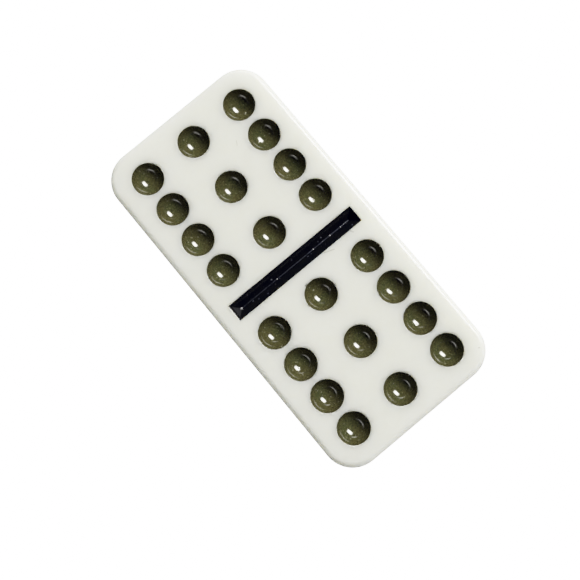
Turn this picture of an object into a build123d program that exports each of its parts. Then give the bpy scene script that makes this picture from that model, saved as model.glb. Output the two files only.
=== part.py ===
from build123d import *

import os

# Domino tile: a moulded plastic block whose face carries twenty-two round wells and one V-shaped
# divider groove, each lined with its own coat of enamel.
# Frame: millimetres, origin at the centre of the underside, X along the tile, Z out of the pip face.

# Block
tile_length = 51.0
tile_width = 25.0
tile_thickness = 9.5
corner_radius = 4.1
edge_radius = 0.8

# Pips: each half has two long rows of four, with a row of three between them
pip_pitch = 5.2
long_row_offset = 7.7
long_row_steps = [1, 2, 3, 4]
middle_row_steps = [1, 2.5, 4]

# Well: a hemisphere under a rounded rim
well_radius = 2.15
rim_round = 0.1

# Enamel lining a well: a thin lip at the rim, thicker at the bottom where the paint settled
pip_lip = 0.05
pip_floor_coat = 0.39

# Divider groove: V-shaped under a rounded rim, with ends that slope at the same angle as its long walls
groove_length = 20.35
groove_width = 2.5
groove_wall_angle = 45
groove_depth = 1.2
groove_rim_round = 0.15

# Enamel lining the groove
divider_drop = 0.05
divider_lip = 0.06
divider_depth = 1.05
divider_wall_angle = 46.5

os.makedirs("parts", exist_ok=True)

# Pip places of one half, from the divider outwards, then mirrored for the other half
half_places = []
for row_offset, steps in (
    (long_row_offset, long_row_steps),
    (0, middle_row_steps),
    (-long_row_offset, long_row_steps),
):
    for step in steps:
        half_places.append((step * pip_pitch, row_offset))
places_a = [(-x, y) for x, y in half_places]
places_b = half_places

# The space one well takes out of the block, with its mouth on the XY plane
with BuildPart() as well_space:
    with BuildSketch(Plane.XZ):
        with BuildLine():
            Line((0, 0), (well_radius + rim_round, 0))
            TangentArc(
                (well_radius + rim_round, 0),
                (well_radius, -rim_round),
                tangent=(-1, 0),
            )
            TangentArc(
                (0, -rim_round - well_radius),
                (well_radius, -rim_round),
                tangent=(1, 0),
            )
            Line((0, -rim_round - well_radius), (0, 0))
        make_face()
    revolve(axis=Axis.Z)

# The block, with its wells and its groove
with BuildPart() as tile_body:
    with BuildSketch():
        RectangleRounded(tile_length, tile_width, corner_radius)
    extrude(amount=tile_thickness)
    top_edges = tile_body.edges().group_by(Axis.Z)[-1]
    bottom_edges = tile_body.edges().group_by(Axis.Z)[0]
    fillet(top_edges + bottom_edges, radius=edge_radius)
    with Locations([(x, y, tile_thickness) for x, y in places_a + places_b]):
        add(well_space.part, mode=Mode.SUBTRACT)
    with BuildSketch(Plane.XY.offset(tile_thickness)):
        Rectangle(groove_width, groove_length)
    extrude(amount=-groove_depth, taper=groove_wall_angle, mode=Mode.SUBTRACT)
    groove_rim = tile_body.edges(Select.LAST).group_by(Axis.Z)[-1]
    fillet(groove_rim, radius=groove_rim_round)
tile_body.part.label = "tile_body"
export_step(tile_body.part, "parts/tile_body.step")

# Enamel in the pips: one separate lining per well, named by half and counted from the divider
for half, places in (("a", places_a), ("b", places_b)):
    for number, (x, y) in enumerate(places, start=1):
        section_plane = Plane(
            origin=(x, y, tile_thickness - rim_round),
            x_dir=(1, 0, 0),
            z_dir=(0, -1, 0),
        )
        with BuildPart() as pip_enamel:
            with BuildSketch(section_plane):
                with BuildLine():
                    TangentArc((0, -well_radius), (well_radius, 0), tangent=(1, 0))
                    Line((well_radius, 0), (well_radius - pip_lip, 0))
                    TangentArc(
                        (0, pip_floor_coat - well_radius),
                        (well_radius - pip_lip, 0),
                        tangent=(1, 0),
                    )
                    Line((0, pip_floor_coat - well_radius), (0, -well_radius))
                make_face()
            revolve(axis=Axis((x, y, 0), (0, 0, 1)))
        node = f"pip_{half}{number:02d}"
        pip_enamel.part.label = node
        export_step(pip_enamel.part, f"parts/{node}.step")

# Enamel in the divider groove, set a little below the face
with BuildPart() as divider_enamel:
    with BuildSketch(Plane.XY.offset(tile_thickness)):
        Rectangle(groove_width, groove_length)
    extrude(amount=-groove_depth, taper=groove_wall_angle)
    split(bisect_by=Plane.XY.offset(tile_thickness - divider_drop), keep=Keep.BOTTOM)
    with BuildSketch(Plane.XY.offset(tile_thickness - divider_drop)):
        Rectangle(
            groove_width - 2 * (divider_drop + divider_lip),
            groove_length - 2 * (divider_drop + divider_lip),
        )
    extrude(
        amount=divider_drop - divider_depth,
        taper=divider_wall_angle,
        mode=Mode.SUBTRACT,
    )
divider_enamel.part.label = "divider_enamel"
export_step(divider_enamel.part, "parts/divider_enamel.step")
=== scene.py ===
import math
import random

import bpy
from mathutils import Matrix, Vector, noise


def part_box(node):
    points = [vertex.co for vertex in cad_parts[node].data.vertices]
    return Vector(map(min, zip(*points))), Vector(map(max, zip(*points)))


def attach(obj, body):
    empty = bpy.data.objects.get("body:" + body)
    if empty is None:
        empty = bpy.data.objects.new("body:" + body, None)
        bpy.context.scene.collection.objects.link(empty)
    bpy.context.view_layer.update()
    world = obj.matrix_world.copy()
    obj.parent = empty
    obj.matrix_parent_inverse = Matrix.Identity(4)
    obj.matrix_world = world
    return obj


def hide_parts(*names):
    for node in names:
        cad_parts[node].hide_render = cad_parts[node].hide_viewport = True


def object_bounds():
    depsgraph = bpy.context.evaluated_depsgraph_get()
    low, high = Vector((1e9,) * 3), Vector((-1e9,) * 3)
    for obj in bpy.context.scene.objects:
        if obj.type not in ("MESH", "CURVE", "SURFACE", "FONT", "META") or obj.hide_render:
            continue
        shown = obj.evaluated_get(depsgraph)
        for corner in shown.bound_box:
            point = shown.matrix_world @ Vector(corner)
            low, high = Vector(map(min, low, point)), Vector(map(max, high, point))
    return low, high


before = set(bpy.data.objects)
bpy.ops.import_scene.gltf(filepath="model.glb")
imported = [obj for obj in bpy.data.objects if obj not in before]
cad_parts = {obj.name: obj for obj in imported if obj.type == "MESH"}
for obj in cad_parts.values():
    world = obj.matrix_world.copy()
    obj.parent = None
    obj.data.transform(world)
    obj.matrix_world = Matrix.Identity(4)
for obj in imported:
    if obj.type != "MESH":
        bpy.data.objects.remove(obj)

cad_low, cad_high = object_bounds()

# Domino tile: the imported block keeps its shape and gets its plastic. Each well's enamel and the
# divider's enamel are rebuilt here as smooth, slightly uneven coats of paint.
# Lengths are in millimetres and are multiplied by MM where Blender needs metres.
MM = 0.001


def colour(r, g, b):
    return (r, g, b, 1.0)


# ------------------------------------------------------------------ camera
CAMERA_LENS = 43.45
CAMERA_SENSOR = 36.0
CAMERA_AIM = Vector((2.246, -2.720, 9.5))
CAMERA_DISTANCE = 89.57
CAMERA_TILT = 4.93              # degrees from straight above
CAMERA_AZIMUTH = -23.45         # degrees from +X, where the camera stands
CAMERA_CLIP = (5.0, 20000.0)
PICTURE_RIGHT = 50.21           # degrees from +X, the way that is right in the picture

# ------------------------------------------------------------------ film
FILM_KNEE = 0.4                 # brightness above which the film begins to compress
FILM_ROLL = 0.612               # how slowly it nears white above the knee
FILM_WHITE = 3.0                # brightness that is pure white
FILM_BLACK = (0.004, 0.004, 0.0)    # brightness that is pure black, in red, green and blue
FILM_POINTS = 12

# ------------------------------------------------------------------ light
BOX_TILT = 39.5                 # degrees from straight above
BOX_AZIMUTH = 97.6
BOX_DISTANCE = 1300.0
BOX_SIZE = (1250.0, 700.0)
BOX_POWER = 89.0
STRIP_TILT = 67.0
STRIP_AZIMUTH = 142.0
STRIP_DISTANCE = 1300.0
STRIP_SIZE = (1250.0, 340.0)
STRIP_POWER = 10.0
LAMP_COLOUR = (1.0, 0.985, 0.93)
LAMP_EDGE = 0.42                # share of a lamp over which it fades in from its edge
WORLD_FILL = 0.015
FLOOR_GLOW = 0.9
FLOOR_SIZE = 4000.0
FLOOR_DROP = 0.01               # below the tile, so that the two don't share a plane
WHITE = colour(1.0, 1.0, 1.0)

# ------------------------------------------------------------------ plastic
PLASTIC = colour(0.800, 0.814, 0.735)
PLASTIC_CLOUD = colour(0.815, 0.829, 0.758)
PLASTIC_GRAIN = colour(0.765, 0.770, 0.695)
PLASTIC_DUST = colour(0.45, 0.43, 0.36)
PLASTIC_ROUGHNESS = 0.17
PLASTIC_SKIN = 0.0015           # height of the fine unevenness of the moulded skin
PLASTIC_IOR = 1.5
SOAK_DEPTH = 3.2                # how far light travels inside the plastic
SOAK_SHARES = (1.0, 0.96, 0.88)

# Marks of use on the pip face: a line's two ends, how far it spreads, and how strong it is
SCUFF_GREY = colour(0.16, 0.15, 0.13)
SPILT_PAINT = colour(0.055, 0.052, 0.024)
SCUFFS = [
    ((1.36, 3.72), (1.85, 4.98), 0.13, 0.36),
    ((1.30, 8.10), (1.67, 8.32), 0.16, 0.34),
    ((-16.74, 4.07), (-17.26, 4.40), 0.09, 0.30),
    ((23.12, 10.93), (23.18, 11.00), 0.14, 0.50),
]
PAINT_SPILLS = [
    ((3.14, -0.82), (3.14, -0.62), 0.26, 0.8),
    ((5.22, -2.16), (5.36, -2.14), 0.22, 0.9),
]
WANDER = 0.16                   # how far the marks stray from straight lines
WANDER_SIZE = 0.4

# ------------------------------------------------------------------ pip enamel
OLIVE_WARM = colour(0.062, 0.057, 0.020)
OLIVE_GREEN = colour(0.052, 0.058, 0.021)
OLIVE_THIN = colour(0.066, 0.057, 0.022)
OLIVE_PIGMENT = colour(0.105, 0.105, 0.045)
OLIVE_POCKET = colour(0.022, 0.021, 0.012)
# pale specks in the enamel, and painted highlights on a few blisters
PALE_SPECK_AND_GLINT = colour(0.50, 0.49, 0.38)
PALE_FLECK = colour(0.28, 0.27, 0.16)
PIP_ROUGHNESS = (0.05, 0.09)
PIP_SKIN = 0.00025
PIP_IOR = 1.75

CUP_DEPTH = 1.76
CUP_SPAN = 1.015                # how much wider than the mouth the whole section would be
CUP_SEGMENTS = 120
CUP_RINGS = 80
LIP_WIDTH = 0.05
LIP_CROWN = 0.012
LIP_STEPS = 4
LIP_CALM = 0.12                 # radians below the lip over which the coat evens out
BACK_RINGS = 8
RIM_FADE = 0.6                  # of the radius, where the coat begins to thin towards the rim
SWELL = 0.001                   # slow unevenness of the coat
SWELL_SIZE = 1.3
RIPPLE = 0.0001                 # fine unevenness of the coat
RIPPLE_SIZE = 0.32
COAT_SHIFT = Vector((3.7, -2.3, 5.1))   # moves the unevenness, so that no two pips are alike

CHANCE_SEED = 11
PIPS_IN_HALF = 11
FIRST_NEAR_PIP = 8              # from here on, a half's pips are in the row nearer -Y
BLISTERS = 3                    # small ones in each pip, scattered by chance
BLISTER_REACH = 0.8             # of the radius
BLISTER_RADIUS = (0.045, 0.075)
BLISTER_HEIGHT = (0.006, 0.014)
SPECKS_NEAR = 8                 # pale specks in each pip of the row nearer -Y
SPECKS_FAR = 4                  # and in each of the other pips
SPECK_REACH = 0.85
SPECK_RADIUS = (0.040, 0.065)
SPECK_STRENGTH = (0.1, 0.4)

# Blisters and pits in the paint of single pips: along X and Y in radii, then radius and height
PIP_MARKS = {
    "pip_a01": [(0.04, -0.19, 0.060, 0.035)],
    "pip_a02": [(0.27, -0.61, 0.055, -0.040)],
    "pip_a03": [(-0.05, -0.44, 0.075, -0.040), (-0.05, -0.44, 0.035, 0.050)],
    "pip_a04": [(0.41, 0.08, 0.090, 0.080), (0.34, 0.02, 0.060, -0.050)],
    "pip_a07": [(0.38, -0.74, 0.035, 0.030), (0.46, -0.70, 0.035, 0.030), (0.54, -0.65, 0.035, 0.030)],
    "pip_b05": [(-0.52, -0.15, 0.045, 0.040)],
    "pip_b08": [(0.88, -0.20, 0.050, 0.045)],
}
# Pale specks in the paint of single pips, where those of pip_a01, pip_a03 and pip_a04 sit on blisters of
# PIP_MARKS as painted highlights: along X and Y in radii, then radius and strength
PIP_SPECKS_AND_GLINTS = {
    "pip_a01": [(0.04, -0.19, 0.070, 1.0)],
    "pip_a03": [(-0.05, -0.44, 0.050, 0.9), (-0.15, 0.10, 0.050, 0.3)],
    "pip_a04": [(0.42, 0.10, 0.075, 1.0), (0.47, 0.04, 0.060, 0.8)],
    "pip_a07": [(0.38, -0.74, 0.045, 0.6), (0.46, -0.70, 0.045, 0.6), (0.54, -0.65, 0.045, 0.6)],
    "pip_b05": [(-0.52, -0.15, 0.070, 0.7)],
    "pip_b08": [(0.88, -0.20, 0.060, 0.9)],
}

# ------------------------------------------------------------------ divider enamel
INK = colour(0.0058, 0.0062, 0.0056)
INK_DRIFT = colour(0.0074, 0.0076, 0.0058)
INK_FLECK = colour(0.030, 0.033, 0.045)
# pale line and spots on the divider: dust, a painted glint and a painted highlight
DUST_AND_GLINT_THIN = colour(0.045, 0.050, 0.070)
DUST_AND_GLINT_THICK = colour(0.195, 0.205, 0.230)
# painted sheen on the end wall nearer -Y, which faces the lamp
END_SHEEN_GREY = colour(0.050, 0.050, 0.056)
DIVIDER_ROUGHNESS = (0.07, 0.16)
DIVIDER_SKIN = 0.002
DIVIDER_IOR = 1.5

PAINT_WALL = 46.5               # degrees from upright
PAINT_LIP = 0.06
PAINT_FLOOR = 0.14              # thickness of the paint at the bottom of the V
PAINT_THINNEST = 0.01
CREASE_ROUND = 0.025            # rounding where the long walls meet the floor
END_ROUND = 0.06                # rounding where the end walls meet the floor
HIP_ANGLE = 50.0                # degrees, above which a crease of the coat is sharp
DIVIDER_STEP = 0.04
DIVIDER_SWELL = 0.006
DIVIDER_SWELL_SIZE = 0.7
DIVIDER_RIPPLE = 0.0015
DIVIDER_RIPPLE_SIZE = 0.25
DIVIDER_RIPPLE_SHIFT = 4.0      # so that the ripple doesn't follow the swell
DIVIDER_CALM = 0.2              # depth over which the unevenness grows to its full height
DUST_AND_GLINT_LINE = 0.12                # half the width of the pale line along the bottom of the V: partly dust, partly a painted glint
GLINT_FAINTEST = 0.22            # share of the line left at its end nearer -Y, as the painted glint fades towards that end
END_SHEEN = 0.30                 # share of a painted sheen of grey on the end wall nearer -Y
END_BORDER = 0.3                # how far that painted sheen stays from the edge
HIP_BORDER = 0.1                # and from the hips

# Blisters along the divider: across and along in millimetres, then radius and height
DIVIDER_MARKS = [
    (-0.02, 8.90, 0.14, 0.05), (0.01, 8.45, 0.10, 0.025), (0.0, 8.10, 0.10, 0.03),
    (0.01, 7.56, 0.14, 0.06), (0.0, 5.80, 0.14, 0.06), (0.03, 4.55, 0.12, 0.04),
    (-0.50, 4.70, 0.11, 0.07), (-0.35, 4.10, 0.09, 0.05), (-0.05, 3.40, 0.10, 0.03),
    (0.0, 2.98, 0.12, 0.045), (0.28, 2.43, 0.09, 0.04), (0.28, 1.86, 0.11, 0.06),
    (0.0, -3.12, 0.12, 0.05), (-0.38, -3.70, 0.11, 0.08), (0.25, -7.26, 0.10, 0.05),
    (0.06, -8.25, 0.10, 0.03), (0.0, -9.02, 0.19, 0.07),
]
# Dust on the divider's enamel, with a painted highlight at the -Y end of the V (strength 1.5): across
# and along in millimetres, then radius and strength
DIVIDER_DUST_AND_GLINT = [
    (-0.50, 4.70, 0.17, 1.0), (-0.35, 4.10, 0.14, 0.8), (0.28, 2.43, 0.14, 0.7),
    (0.28, 1.86, 0.18, 0.9), (-0.64, -0.07, 0.18, 0.6), (0.11, -1.41, 0.14, 0.6),
    (0.17, -2.76, 0.13, 0.6), (-0.38, -3.70, 0.19, 1.2), (0.42, -4.95, 0.13, 0.6),
    (0.74, -5.16, 0.16, 0.8), (0.50, -6.50, 0.16, 0.7), (0.25, -7.26, 0.18, 0.95),
    (-0.78, -7.35, 0.16, 0.6), (0.85, 8.88, 0.17, 0.9), (0.0, -8.98, 0.16, 1.5),
]


# ================================================================== placing
def turned(tilt, azimuth):
    """The unit vector that leans by tilt from straight up, towards azimuth."""
    t, a = math.radians(tilt), math.radians(azimuth)
    return Vector((math.sin(t) * math.cos(a), math.sin(t) * math.sin(a), math.cos(t)))


def place(obj, at, back, right):
    """Puts obj at a point with its own Z along back and its own X as near right as can be."""
    x = (right - back * right.dot(back)).normalized()
    y = back.cross(x)
    turn = Matrix((x, y, back)).transposed().to_4x4()
    obj.matrix_world = Matrix.Translation(at * MM) @ turn


def link(obj):
    bpy.context.scene.collection.objects.link(obj)
    return obj


# ================================================================== node helper
class Tree:
    """Short calls that add linked shader nodes to one material, light or world."""

    def __init__(self, owner):
        owner.use_nodes = True
        self.nodes, self.links = owner.node_tree.nodes, owner.node_tree.links
        self.nodes.clear()

    def fill(self, socket, value):
        """Links a socket to another node's output, or sets it to a plain value."""
        if isinstance(value, bpy.types.NodeSocket):
            self.links.new(value, socket)
        else:
            socket.default_value = value

    def add(self, kind, inputs=None, **settings):
        made = self.nodes.new("ShaderNode" + kind)
        for name, value in settings.items():
            setattr(made, name, value)
        for name, value in (inputs or {}).items():
            self.fill(made.inputs[name], value)
        return made

    def maths(self, operation, a, b=0.0, clamp=False):
        return self.add("Math", {0: a, 1: b}, operation=operation, use_clamp=clamp).outputs[0]

    def vectors(self, operation, a, b):
        return self.add("VectorMath", {0: a, 1: b}, operation=operation).outputs[0]

    def scaled(self, vector, share):
        return self.add("VectorMath", {0: vector, "Scale": share}, operation="SCALE").outputs[0]

    def noise(self, where, size, detail=3.0, roughness=0.5):
        """Noise whose blobs are about size millimetres across."""
        return self.add("TexNoise", {
            "Vector": where, "Scale": 1.0 / (size * MM), "Detail": detail, "Roughness": roughness})

    def cloud(self, where, size, detail=3.0, roughness=0.5):
        return self.noise(where, size, detail, roughness).outputs["Fac"]

    def ramp(self, value, low, high, to_low=0.0, to_high=1.0):
        """A smooth change from to_low to to_high as value goes from low to high."""
        made = self.add("MapRange", {
            "Value": value, "From Min": low, "From Max": high,
            "To Min": to_low, "To Max": to_high}, interpolation_type="SMOOTHSTEP")
        return made.outputs["Result"]

    def mix(self, share, a, b):
        made = self.add("Mix", data_type="RGBA")
        for name, value in ((0, share), (6, a), (7, b)):
            self.fill(made.inputs[name], value)
        return made.outputs[2]

    def attribute(self, name):
        return self.add("Attribute", attribute_name=name).outputs["Fac"]

    def skin(self, where, size, height, detail=3.0, roughness=0.5):
        """The normals of a surface with fine unevenness of a height in millimetres."""
        uneven = self.cloud(where, size, detail, roughness)
        made = self.add("Bump", {"Height": uneven, "Strength": 1.0, "Distance": height * MM})
        return made.outputs["Normal"]


# ================================================================== materials
def near_segment(t, where, start, end, reach):
    """1 on a straight line across the pip face, fading to 0 at reach from it."""
    face_height = cad_high[2] / MM
    along = Vector((end[0] - start[0], end[1] - start[1], 0.0)) * MM
    foot = Vector((start[0], start[1], face_height)) * MM
    span = t.vectors("SUBTRACT", where, foot)
    share = t.add("VectorMath", {0: span, 1: along / along.length_squared}, operation="DOT_PRODUCT")
    share = t.maths("ADD", share.outputs["Value"], 0.0, clamp=True)
    gap = t.add("VectorMath", {0: span, 1: t.scaled(along, share)}, operation="DISTANCE")
    return t.ramp(gap.outputs["Value"], 0.0, reach * MM, 1.0, 0.0)


def worn(t, where, base):
    """The plastic's colour with the scuffs and the spilt paint laid over it."""
    stray = t.vectors("SUBTRACT", t.noise(where, WANDER_SIZE, 2.0).outputs["Color"], (0.5, 0.5, 0.5))
    wandered = t.vectors("ADD", where, t.scaled(stray, WANDER * MM))
    for marks, tint in ((SCUFFS, SCUFF_GREY), (PAINT_SPILLS, SPILT_PAINT)):
        for start, end, reach, strength in marks:
            mark = near_segment(t, wandered, start, end, reach)
            base = t.mix(t.maths("MULTIPLY", mark, strength), base, tint)
    return base


def tile_material():
    """Off-white moulded plastic: light soaks in, the skin is glossy with fine wear."""
    made = bpy.data.materials.new("tile_plastic")
    t = Tree(made)
    where = t.add("TexCoord").outputs["Object"]

    drift = t.ramp(t.cloud(where, 14.0), 0.35, 0.65)
    grain = t.ramp(t.cloud(where, 0.9, 5.0, 0.6), 0.3, 0.7)
    dust = t.ramp(t.cloud(where, 0.35, 1.0), 0.80, 0.86)
    base = t.mix(drift, PLASTIC, PLASTIC_CLOUD)
    base = t.mix(t.maths("MULTIPLY", grain, 0.40), base, PLASTIC_GRAIN)
    base = t.mix(t.maths("MULTIPLY", dust, 0.35), base, PLASTIC_DUST)
    base = worn(t, where, base)

    rub = t.ramp(t.cloud(where, 5.0, 4.0, 0.65), 0.4, 0.75)
    fine = t.cloud(where, 0.12, 2.0)
    rough = t.maths("ADD", t.maths("MULTIPLY", rub, 0.06), t.maths("MULTIPLY", fine, 0.08))
    rough = t.maths("ADD", rough, PLASTIC_ROUGHNESS)

    shader = t.add("BsdfPrincipled", {
        "Base Color": base, "Roughness": rough, "IOR": PLASTIC_IOR,
        "Subsurface Weight": 1.0, "Subsurface Radius": SOAK_SHARES,
        "Subsurface Scale": SOAK_DEPTH * MM,
        "Normal": t.skin(where, 1.6, PLASTIC_SKIN, 4.0, 0.55)})
    t.add("OutputMaterial", {"Surface": shader.outputs[0]})
    return made


def pip_material():
    """Olive enamel with a little pigment showing through its gloss, pale specks, and painted highlights
    on a few blisters.
    """
    made = bpy.data.materials.new("pip_enamel")
    t = Tree(made)
    where = t.add("TexCoord").outputs["Object"]

    drift = t.ramp(t.cloud(where, 2.6, 2.0), 0.35, 0.65)
    pigment = t.ramp(t.cloud(where, 0.22, 2.0, 0.6), 0.44, 0.64)
    pocket = t.ramp(t.cloud(where, 0.19, 2.0), 0.50, 0.66)
    fleck = t.ramp(t.cloud(where, 0.16, 0.0), 0.74, 0.82)
    base = t.mix(drift, OLIVE_WARM, OLIVE_GREEN)
    base = t.mix(t.maths("MULTIPLY", t.attribute("rim"), 0.8), base, OLIVE_THIN)
    base = t.mix(t.maths("MULTIPLY", pigment, 0.6), base, OLIVE_PIGMENT)
    base = t.mix(t.maths("MULTIPLY", pocket, 0.55), base, OLIVE_POCKET)
    # pale specks, and painted highlights on a few blisters
    base = t.mix(t.attribute("speck_and_glint"), base, PALE_SPECK_AND_GLINT)
    base = t.mix(t.maths("MULTIPLY", fleck, 0.6), base, PALE_FLECK)

    shader = t.add("BsdfPrincipled", {
        "Base Color": base, "IOR": PIP_IOR,
        "Roughness": t.ramp(t.cloud(where, 0.5), 0.3, 0.7, *PIP_ROUGHNESS),
        "Normal": t.skin(where, 0.22, PIP_SKIN, 2.0)})
    t.add("OutputMaterial", {"Surface": shader.outputs[0]})
    return made


def divider_material():
    """Blue-black enamel with a pale line along the bottom of its V that is partly dust and partly a
    painted glint, dust spots with one painted highlight, and a painted sheen of grey on the end wall
    nearer -Y.
    """
    made = bpy.data.materials.new("divider_enamel")
    t = Tree(made)
    where = t.add("TexCoord").outputs["Object"]

    drift = t.ramp(t.cloud(where, 1.5), 0.35, 0.65)
    fleck = t.ramp(t.cloud(where, 0.16, 1.0), 0.72, 0.82)
    # pale line and spots: dust, a painted glint along the V and a painted highlight at its -Y end
    dust = t.attribute("dust")
    broken = t.ramp(t.cloud(where, 0.45), 0.30, 0.60, 0.30, 1.0)
    dust_and_glint_tone = t.mix(t.ramp(dust, 0.75, 1.0), DUST_AND_GLINT_THIN, DUST_AND_GLINT_THICK)
    base = t.mix(drift, INK, INK_DRIFT)
    base = t.mix(t.maths("MULTIPLY", fleck, 0.5), base, INK_FLECK)
    base = t.mix(t.maths("MULTIPLY", dust, broken), base, dust_and_glint_tone)
    # painted sheen on the end wall nearer -Y
    base = t.mix(t.attribute("end_sheen"), base, END_SHEEN_GREY)

    shader = t.add("BsdfPrincipled", {
        "Base Color": base, "IOR": DIVIDER_IOR,
        "Roughness": t.ramp(t.cloud(where, 0.5), 0.3, 0.7, *DIVIDER_ROUGHNESS),
        "Normal": t.skin(where, 0.3, DIVIDER_SKIN)})
    t.add("OutputMaterial", {"Surface": shader.outputs[0]})
    return made


def white_or_dim(t, dim):
    """Pure white where the camera sees it, and as bright as dim for the light it gives off."""
    seen = t.add("LightPath").outputs["Is Camera Ray"]
    return t.maths("ADD", t.maths("MULTIPLY", seen, FILM_WHITE - dim), dim)


def floor_material():
    """A plain white sheet, lit from within so that nothing on it casts a grey patch."""
    made = bpy.data.materials.new("floor_white")
    t = Tree(made)
    shader = t.add("Emission", {"Color": WHITE, "Strength": white_or_dim(t, FLOOR_GLOW)})
    t.add("OutputMaterial", {"Surface": shader.outputs[0]})
    return made


# ================================================================== meshes
def mesh_object(name, verts, faces, material):
    mesh = bpy.data.meshes.new(name)
    mesh.from_pydata([Vector(v) * MM for v in verts], [], faces)
    mesh.materials.append(material)
    mesh.shade_smooth()
    mesh.update()
    return link(bpy.data.objects.new(name, mesh))


def give_share(piece, name, values):
    """Stores a value from 0 to 1 at each of the first corners of a mesh, for its material to read."""
    shares = piece.data.attributes.new(name, "FLOAT", "POINT").data
    for value, share in zip(values, shares):
        share.value = value


def bump_at(u, v, bumps):
    """The sum of the round bumps in a list at one point: each is a place, a radius and a height."""
    total = 0.0
    for at_u, at_v, radius, height in bumps:
        far = math.hypot(u - at_u, v - at_v) / radius
        if far < 1.0:
            total += height * (1.0 - far * far) ** 2
    return total


# ------------------------------------------------------------------ pips
def cup_rings(radius, height, bumps, seed):
    """One enamel coat as rings of points round the origin, from the bottom of the cup outwards.

    The rings climb the inside of the cup, cross its rounded lip and go down the well behind it.
    """
    inner = radius - LIP_WIDTH
    reach = math.asin(1 / CUP_SPAN)
    wide, tall = inner * CUP_SPAN, CUP_DEPTH / (1 - math.cos(reach))
    turns = [2 * math.pi * k / CUP_SEGMENTS for k in range(CUP_SEGMENTS)]

    def inside(angle, turn):
        r = wide * math.sin(angle)
        at = Vector((r * math.cos(turn), r * math.sin(turn), tall - CUP_DEPTH - tall * math.cos(angle)))
        swell = noise.noise((at + COAT_SHIFT * seed) / SWELL_SIZE) * SWELL
        ripple = noise.noise((at + COAT_SHIFT * seed) / RIPPLE_SIZE) * RIPPLE
        calm = min(1.0, (reach - angle) / LIP_CALM)
        lift = (swell + ripple) * calm + bump_at(at.x / radius, at.y / radius, bumps)
        return at - at.normalized() * lift

    def level(r, z):
        return [(r * math.cos(turn), r * math.sin(turn), z) for turn in turns]

    rings = [[inside(0.0, 0.0)]]
    for ring in range(1, CUP_RINGS + 1):
        rings.append([inside(reach * ring / CUP_RINGS, turn) for turn in turns])
    for step in range(1, LIP_STEPS):
        around = math.pi * step / LIP_STEPS
        rings.append(level((inner + radius) / 2 - LIP_WIDTH / 2 * math.cos(around),
                           LIP_CROWN * math.sin(around)))
    for ring in range(BACK_RINGS):
        angle = math.pi / 2 * (1 - ring / BACK_RINGS)
        rings.append(level(radius * math.sin(angle), -radius * math.cos(angle)))
    rings.append([(0.0, 0.0, -height)])
    return rings


def joined(rings):
    """The points of some rings in one list, and the faces that join each ring to the next."""
    verts, starts = [], []
    for ring in rings:
        starts.append(len(verts))
        verts.extend(ring)
    n = CUP_SEGMENTS
    steps = [(k, (k + 1) % n) for k in range(n)]
    faces = [(0, starts[1] + k, starts[1] + following) for k, following in steps]
    for a, b in zip(starts[1:-1], starts[2:-1]):
        faces += [(a + k, b + k, b + following, a + following) for k, following in steps]
    last, foot = starts[-2:]
    faces += [(last + k, foot, last + following) for k, following in steps]
    return verts, faces


def enamel_cup(name, node, bumps, pale_spots, material, seed):
    """One well's enamel: a smooth cup inside, a thin rounded lip, and the well's own shape behind."""
    low, high = (Vector(c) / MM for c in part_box(node))
    radius = (high.x - low.x) / 2
    mouth = Vector(((low.x + high.x) / 2, (low.y + high.y) / 2, high.z))
    around, faces = joined(cup_rings(radius, high.z - low.z, bumps, seed))
    piece = mesh_object(name, [mouth + Vector(v) for v in around], faces, material)
    outward = [math.hypot(v[0], v[1]) / radius for v in around]
    inside = around[:1 + CUP_RINGS * CUP_SEGMENTS]
    give_share(piece, "rim", [max(0.0, (far - RIM_FADE) / (1 - RIM_FADE)) for far in outward])
    # share of pale specks and painted highlights over the inside of the cup
    give_share(piece, "speck_and_glint", [min(1.0, bump_at(v[0] / radius, v[1] / radius, pale_spots)) for v in inside])
    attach(piece, "root")
    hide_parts(node)


def scattered(chance, count, reach, radii, heights):
    """Small round marks at places left to chance: along X and Y in radii, then radius and height."""
    marks = []
    for _ in range(count):
        far = reach * math.sqrt(chance.random())
        turn = chance.uniform(0, 2 * math.pi)
        marks.append((far * math.cos(turn), far * math.sin(turn),
                      chance.uniform(*radii), chance.uniform(*heights)))
    return marks


def coat_pips():
    enamel = pip_material()
    chance = random.Random(CHANCE_SEED)
    for half in "ab":
        for number in range(1, PIPS_IN_HALF + 1):
            node = f"pip_{half}{number:02d}"
            blisters = scattered(chance, BLISTERS, BLISTER_REACH, BLISTER_RADIUS, BLISTER_HEIGHT)
            count = SPECKS_NEAR if number >= FIRST_NEAR_PIP else SPECKS_FAR
            pale_spots = scattered(chance, count, SPECK_REACH, SPECK_RADIUS, SPECK_STRENGTH)
            enamel_cup(node + "_enamel", node, PIP_MARKS.get(node, []) + blisters,
                       PIP_SPECKS_AND_GLINTS.get(node, []) + pale_spots, enamel, chance.uniform(1, 9))


# ------------------------------------------------------------------ divider
def soft_least(values, width):
    """The least of some values, with the change from one to another rounded over width."""
    low = min(values)
    return low - width * math.log(sum(math.exp((low - v) / width) for v in values))


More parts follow.
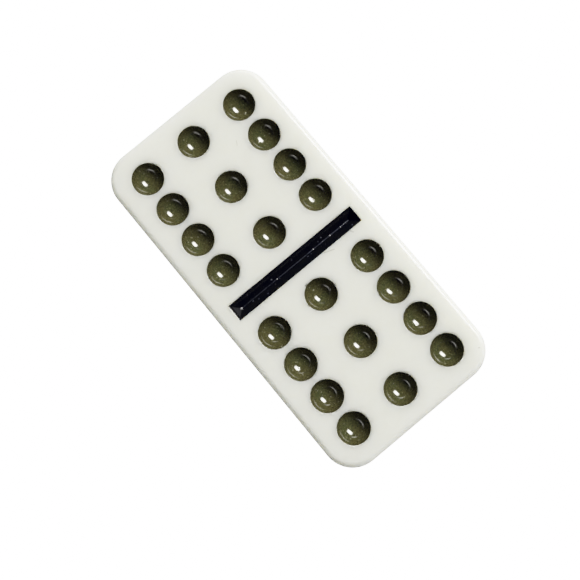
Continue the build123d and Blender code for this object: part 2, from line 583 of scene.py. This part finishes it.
def paint_depth(x, y, half_x, half_y, deepest, bumps):
    """How far the divider's paint lies below its own rim, at x across and y along the groove."""
    slope = 1 / math.tan(math.radians(PAINT_WALL))
    side, end = half_x - PAINT_LIP, half_y - PAINT_LIP
    floor = deepest - PAINT_FLOOR
    along = soft_least([(side - x) * slope, (side + x) * slope, floor], CREASE_ROUND)
    across = soft_least([(end - abs(y)) * slope, floor], END_ROUND)
    depth = min(along, across)
    swell = noise.noise(Vector((x, y, 0.0)) / DIVIDER_SWELL_SIZE) * DIVIDER_SWELL
    ripple = noise.noise(Vector((x, y, DIVIDER_RIPPLE_SHIFT)) / DIVIDER_RIPPLE_SIZE) * DIVIDER_RIPPLE
    depth -= bump_at(x, y, bumps) + (swell + ripple) * min(1.0, max(0.0, depth) / DIVIDER_CALM)
    return max(0.0, depth)


def front_faces(cols, rows):
    """A grid's cells as faces, each cell that a hip crosses split in two along the hip."""
    faces = []
    for j in range(rows - 1):
        for i in range(cols - 1):
            a, b = j * cols + i, j * cols + i + 1
            c, d = b + cols, a + cols
            on_hip = min(i, cols - 2 - i) == min(j, rows - 2 - j)
            if not on_hip:
                faces.append((a, b, c, d))
            elif (2 * i < cols - 1) == (2 * j < rows - 1):
                faces += [(a, b, c), (a, c, d)]
            else:
                faces += [(a, b, d), (b, c, d)]
    return faces


def add_back(verts, faces, xs, ys, back_height):
    """Closes a grid surface with a second one behind it, which shares the points on its edge."""
    cols, rows = len(xs), len(ys)
    behind = {}
    for j, y in enumerate(ys):
        for i, x in enumerate(xs):
            if i in (0, cols - 1) or j in (0, rows - 1):
                behind[i, j] = j * cols + i
            else:
                behind[i, j] = len(verts)
                front = verts[j * cols + i][2]
                verts.append((x, y, min(back_height(x, y), front - PAINT_THINNEST)))
    for j in range(rows - 1):
        for i in range(cols - 1):
            faces.append((behind[i, j], behind[i, j + 1], behind[i + 1, j + 1], behind[i + 1, j]))


def divider_shares(x, y, half_x, half_y, deepest, pale_spots):
    """How much of the pale line and spots (dust, painted glint and painted highlight) and how much
    painted sheen lie on the divider's paint at one point.
    """
    on_floor = abs(y) < half_y - deepest
    line = max(0.0, 1 - abs(x) / DUST_AND_GLINT_LINE) if on_floor else 0.0
    # the pale line is partly a painted glint, which fades towards -Y
    faint = GLINT_FAINTEST + (1 - GLINT_FAINTEST) * (y + half_y) / (2 * half_y)
    # painted sheen on the end wall nearer -Y, kept off its edge and hips
    on_end = END_BORDER < half_y + y < half_x - abs(x) - HIP_BORDER
    return min(1.0, line * faint + bump_at(x, y, pale_spots)), END_SHEEN if on_end else 0.0


def divider_cup(name, node, bumps, pale_spots, material):
    """The divider's enamel: a long V with hipped ends, its creases rounded where paint gathered."""
    low, high = (Vector(c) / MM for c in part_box(node))
    half_x, half_y = (high.x - low.x) / 2, (high.y - low.y) / 2
    deepest = high.z - low.z

    def groove_height(x, y):
        return high.z - min(half_x - abs(x), half_y - abs(y), deepest)

    cols, rows = (2 * round(half / DIVIDER_STEP) + 1 for half in (half_x, half_y))
    xs = [-half_x + 2 * half_x * i / (cols - 1) for i in range(cols)]
    ys = [-half_y + 2 * half_y * j / (rows - 1) for j in range(rows)]
    spots = [(x, y) for y in ys for x in xs]
    verts = [(x, y, high.z - paint_depth(x, y, half_x, half_y, deepest, bumps)) for x, y in spots]
    shares = [divider_shares(x, y, half_x, half_y, deepest, pale_spots) for x, y in spots]
    faces = front_faces(cols, rows)
    add_back(verts, faces, xs, ys, groove_height)

    piece = mesh_object(name, verts, faces, material)
    piece.data.set_sharp_from_angle(angle=math.radians(HIP_ANGLE))
    # pale line and spots: dust, painted glint and painted highlight
    give_share(piece, "dust", [dust for dust, end_sheen in shares])
    # painted sheen on the end wall nearer -Y
    give_share(piece, "end_sheen", [end_sheen for dust, end_sheen in shares])
    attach(piece, "root")
    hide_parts(node)


# ================================================================== stage, light and camera
def lay_floor():
    half = FLOOR_SIZE / 2
    corners = [(-half, -half, 0), (half, -half, 0), (half, half, 0), (-half, half, 0)]
    floor = mesh_object("floor", corners, [(0, 1, 2, 3)], floor_material())
    floor.location.z = -FLOOR_DROP * MM


def light_world():
    world = bpy.data.worlds.new("studio")
    bpy.context.scene.world = world
    t = Tree(world)
    sky = t.add("Background", {"Color": WHITE, "Strength": white_or_dim(t, WORLD_FILL)})
    t.add("OutputWorld", {"Surface": sky.outputs[0]})


def area_lamp(name, tilt, azimuth, distance, size, power):
    """A rectangular lamp that faces the origin, fading out towards its edges, long side level."""
    data = bpy.data.lights.new(name, "AREA")
    data.shape = "RECTANGLE"
    data.size, data.size_y = size[0] * MM, size[1] * MM
    data.energy = power
    data.color = LAMP_COLOUR
    t = Tree(data)
    spot = t.add("SeparateXYZ", {0: t.add("NewGeometry").outputs["Parametric"]})
    glow = 1.0
    for axis in ("X", "Y"):
        from_middle = t.maths("ABSOLUTE", t.maths("SUBTRACT", spot.outputs[axis], 0.5))
        from_edge = t.maths("SUBTRACT", 0.5, from_middle)
        glow = t.maths("MULTIPLY", t.ramp(from_edge, 0.0, LAMP_EDGE), glow)
    shader = t.add("Emission", {"Color": WHITE, "Strength": glow})
    t.add("OutputLight", {"Surface": shader.outputs[0]})
    toward = turned(tilt, azimuth)
    place(link(bpy.data.objects.new(name, data)), toward * distance, toward, turned(90, azimuth - 90))


def stand_camera():
    data = bpy.data.cameras.new("camera")
    data.lens, data.sensor_width = CAMERA_LENS, CAMERA_SENSOR
    data.clip_start, data.clip_end = (length * MM for length in CAMERA_CLIP)
    camera = link(bpy.data.objects.new("camera", data))
    back = turned(CAMERA_TILT, CAMERA_AZIMUTH)
    place(camera, CAMERA_AIM + back * CAMERA_DISTANCE, back, turned(90, PICTURE_RIGHT))
    bpy.context.scene.camera = camera


def develop(view):
    """Gives the picture the soft shoulder of a photograph: highlights roll off instead of clipping."""
    view.view_transform = "Standard"
    view.use_curve_mapping = True
    mapping = view.curve_mapping
    mapping.black_level = FILM_BLACK
    mapping.white_level = (FILM_WHITE, FILM_WHITE, FILM_WHITE)
    curve = mapping.curves[3]
    for step in range(1, FILM_POINTS):
        at = (step / FILM_POINTS) ** 1.5
        over = max(0.0, at * FILM_WHITE - FILM_KNEE)
        rolled = (1 - FILM_KNEE) * (1 - math.exp(-over / FILM_ROLL))
        curve.points.new(at, min(at * FILM_WHITE, FILM_KNEE) + rolled)
    mapping.update()


# ================================================================== build
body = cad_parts["tile_body"]
plastic = tile_material()
for place_in_mesh in body.material_slots:
    place_in_mesh.link = "OBJECT"
    place_in_mesh.material = plastic
coat_pips()
divider_cup("divider_coat", "divider_enamel", DIVIDER_MARKS, DIVIDER_DUST_AND_GLINT, divider_material())

lay_floor()
light_world()
area_lamp("softbox", BOX_TILT, BOX_AZIMUTH, BOX_DISTANCE, BOX_SIZE, BOX_POWER)
area_lamp("strip", STRIP_TILT, STRIP_AZIMUTH, STRIP_DISTANCE, STRIP_SIZE, STRIP_POWER)
stand_camera()
develop(bpy.context.scene.view_settings)
